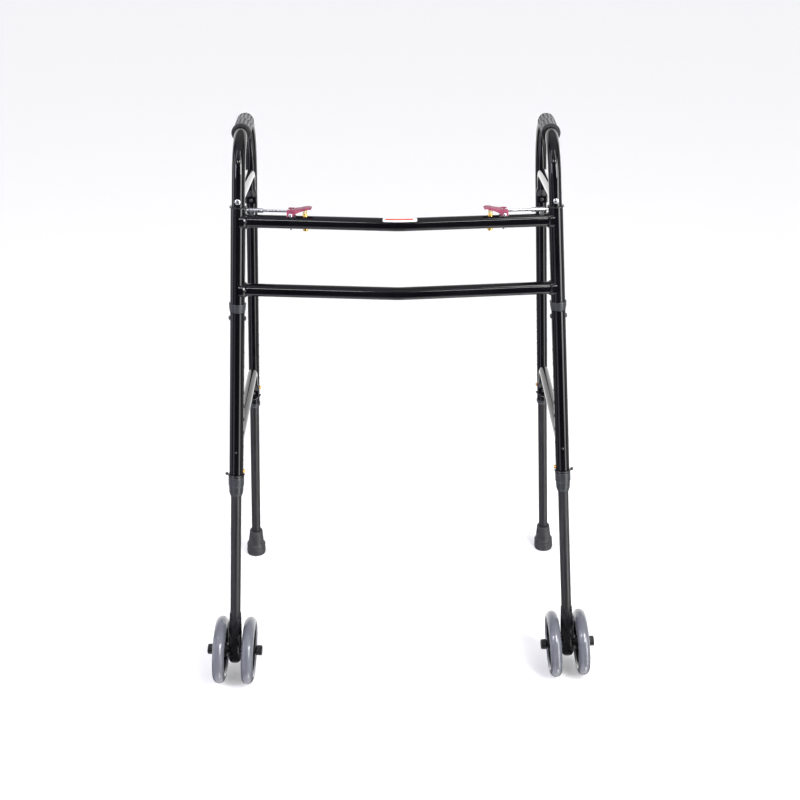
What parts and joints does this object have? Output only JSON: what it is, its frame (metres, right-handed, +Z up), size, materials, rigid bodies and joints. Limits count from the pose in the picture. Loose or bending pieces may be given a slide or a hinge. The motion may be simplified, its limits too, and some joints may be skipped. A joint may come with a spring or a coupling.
{
  "type": "folding walking frame",
  "caption": "Folding two-lever walking frame with hand grips, four telescopic legs, twin front wheels and rear rubber tips.",
  "frame": {"origin": "on the floor, at the middle of the whole frame's footprint", "axes": "+Z up; the front of the frame faces -Y and the person stands on the +Y side; +X is the person's left"},
  "size_m": [0.7398, 0.5386, 1.0425],
  "materials": {
    "frame_gloss": "gloss black powder coat",
    "extension_satin": "satin dark grey anodised",
    "wheel_plastic": "gloss black moulded",
    "tyre": "smooth grey, slightly glossy",
    "grip_rubber": "matt, ribbed lengthwise",
    "tip_rubber": "matt",
    "collar_plastic": "satin moulded",
    "lever_paint": "gloss burgundy",
    "bright_zinc": "bright zinc plate",
    "yellow_zinc": "yellow zinc plate",
    "brass": "polished",
    "black_steel": "black, glossy"
  },
  "bodies": {
    "front_frame": {"left_sleeve": "frame_gloss", "right_sleeve": "frame_gloss", "upper_crossbar": "frame_gloss", "lower_crossbar": "frame_gloss", "weld_beads": "frame_gloss", "upper_bushings": "collar_plastic", "lower_collars": "collar_plastic", "lever_brackets": "bright_zinc", "spring_bolts": "yellow_zinc", "rod_guides": "bright_zinc", "left_lever_spring": "yellow_zinc", "right_lever_spring": "yellow_zinc"},
    "left_side_frame": {"left_side_tube": "frame_gloss", "left_hand_grip": "grip_rubber", "left_front_leg": "frame_gloss", "left_upper_brace": "frame_gloss", "left_lower_brace": "frame_gloss", "left_leg_bushings": "collar_plastic", "left_side_fasteners": "frame_gloss", "left_stop_screw": "bright_zinc", "left_lock_clips": "black_steel"},
    "left_front_slider": {"left_front_extension": "extension_satin", "left_guide_ring": "collar_plastic", "left_wheel_bracket": "wheel_plastic", "left_axle": "bright_zinc", "left_axle_caps": "wheel_plastic"},
    "left_rear_slider": {"left_rear_extension": "extension_satin", "left_rubber_tip": "tip_rubber"},
    "left_outer_wheel": {"left_outer_tyre": "tyre", "left_outer_wheel_hub": "wheel_plastic"},
    "left_inner_wheel": {"left_inner_tyre": "tyre", "left_inner_wheel_hub": "wheel_plastic"},
    "left_front_snap": {"left_front_button": "brass"},
    "left_rear_snap": {"left_rear_button": "brass"},
    "left_lever": {"left_release_lever": "lever_paint"},
    "left_latch": {"left_latch_rod": "bright_zinc"},
    "right_side_frame": {"right_side_tube": "frame_gloss", "right_hand_grip": "grip_rubber", "right_front_leg": "frame_gloss", "right_upper_brace": "frame_gloss", "right_lower_brace": "frame_gloss", "right_leg_bushings": "collar_plastic", "right_side_fasteners": "frame_gloss", "right_stop_screw": "bright_zinc", "right_lock_clips": "black_steel"},
    "right_front_slider": {"right_front_extension": "extension_satin", "right_guide_ring": "collar_plastic", "right_wheel_bracket": "wheel_plastic", "right_axle": "bright_zinc", "right_axle_caps": "wheel_plastic"},
    "right_rear_slider": {"right_rear_extension": "extension_satin", "right_rubber_tip": "tip_rubber"},
    "right_outer_wheel": {"right_outer_tyre": "tyre", "right_outer_wheel_hub": "wheel_plastic"},
    "right_inner_wheel": {"right_inner_tyre": "tyre", "right_inner_wheel_hub": "wheel_plastic"},
    "right_front_snap": {"right_front_button": "brass"},
    "right_rear_snap": {"right_rear_button": "brass"},
    "right_lever": {"right_release_lever": "lever_paint"},
    "right_latch": {"right_latch_rod": "bright_zinc"}
  },
  "joints": [
    {"name": "left_fold", "type": "hinge", "parent": "front_frame", "child": "left_side_frame", "pos_m": [0.27019, -0.15799, 0.836], "axis": [-0.0619, 0.0619, 0.9962], "range_deg": [0, 78]},
    {"name": "left_lever_press", "type": "hinge", "parent": "front_frame", "child": "left_lever", "pos_m": [0.1775, -0.16304, 0.9096], "axis": [0.0982, -0.9952, 0], "range_deg": [0, 14], "stiffness_Nm_per_rad": 0.25, "springref_deg": -8.59, "deforming": ["left_lever_spring"]},
    {"name": "left_latch_pull", "type": "slide", "parent": "front_frame", "child": "left_latch", "axis": [-0.9952, -0.0982, 0], "range_m": [0, 0.00169]},
    {"name": "left_front_height", "type": "slide", "parent": "left_side_frame", "child": "left_front_slider", "axis": [-0.0619, 0.0619, 0.9962], "range_m": [0, 0.1524]},
    {"name": "left_rear_height", "type": "slide", "parent": "left_side_frame", "child": "left_rear_slider", "axis": [-0.0515, -0.0702, 0.9962], "range_m": [0, 0.1524]},
    {"name": "left_front_snap_press", "type": "slide", "parent": "left_front_slider", "child": "left_front_snap", "axis": [0.9981, 0.0038, 0.0617], "range_m": [0, 0.0052], "stiffness_N_per_m": 600, "springref_m": -0.002},
    {"name": "left_rear_snap_press", "type": "slide", "parent": "left_rear_slider", "child": "left_rear_snap", "axis": [0.9987, -0.0036, 0.0514], "range_m": [0, 0.0052], "stiffness_N_per_m": 600, "springref_m": -0.002},
    {"name": "left_outer_wheel_spin", "type": "hinge", "parent": "left_front_slider", "child": "left_outer_wheel", "pos_m": [0.34461, -0.20586, 0.06685], "axis": [0.9981, 0, 0.062], "continuous": true},
    {"name": "left_inner_wheel_spin", "type": "hinge", "parent": "left_front_slider", "child": "left_inner_wheel", "pos_m": [0.29151, -0.20586, 0.06355], "axis": [0.9981, 0, 0.062], "continuous": true},
    {"name": "right_fold", "type": "hinge", "parent": "front_frame", "child": "right_side_frame", "pos_m": [-0.27019, -0.15799, 0.836], "axis": [-0.0619, -0.0619, -0.9962], "range_deg": [0, 60]},
    {"name": "right_lever_press", "type": "hinge", "parent": "front_frame", "child": "right_lever", "pos_m": [-0.1775, -0.16304, 0.9096], "axis": [0.0982, 0.9952, 0], "range_deg": [0, 14], "stiffness_Nm_per_rad": 0.25, "springref_deg": -8.59, "deforming": ["right_lever_spring"]},
    {"name": "right_latch_pull", "type": "slide", "parent": "front_frame", "child": "right_latch", "axis": [0.9952, -0.0982, 0], "range_m": [0, 0.00169]},
    {"name": "right_front_height", "type": "slide", "parent": "right_side_frame", "child": "right_front_slider", "axis": [0.0619, 0.0619, 0.9962], "range_m": [0, 0.1524]},
    {"name": "right_rear_height", "type": "slide", "parent": "right_side_frame", "child": "right_rear_slider", "axis": [0.0515, -0.0702, 0.9962], "range_m": [0, 0.1524]},
    {"name": "right_front_snap_press", "type": "slide", "parent": "right_front_slider", "child": "right_front_snap", "axis": [-0.9981, 0.0038, 0.0617], "range_m": [0, 0.0052], "stiffness_N_per_m": 600, "springref_m": -0.002},
    {"name": "right_rear_snap_press", "type": "slide", "parent": "right_rear_slider", "child": "right_rear_snap", "axis": [-0.9987, -0.0036, 0.0514], "range_m": [0, 0.0052], "stiffness_N_per_m": 600, "springref_m": -0.002},
    {"name": "right_outer_wheel_spin", "type": "hinge", "parent": "right_front_slider", "child": "right_outer_wheel", "pos_m": [-0.34461, -0.20586, 0.06685], "axis": [0.9981, 0, -0.062], "continuous": true},
    {"name": "right_inner_wheel_spin", "type": "hinge", "parent": "right_front_slider", "child": "right_inner_wheel", "pos_m": [-0.29151, -0.20586, 0.06355], "axis": [0.9981, 0, -0.062], "continuous": true}
  ],
  "couplings": [
    {"joint": "left_latch_pull", "follows": "left_lever_press", "m_per_rad": 0.0069306},
    {"joint": "right_latch_pull", "follows": "right_lever_press", "m_per_rad": 0.0069306}
  ]
}
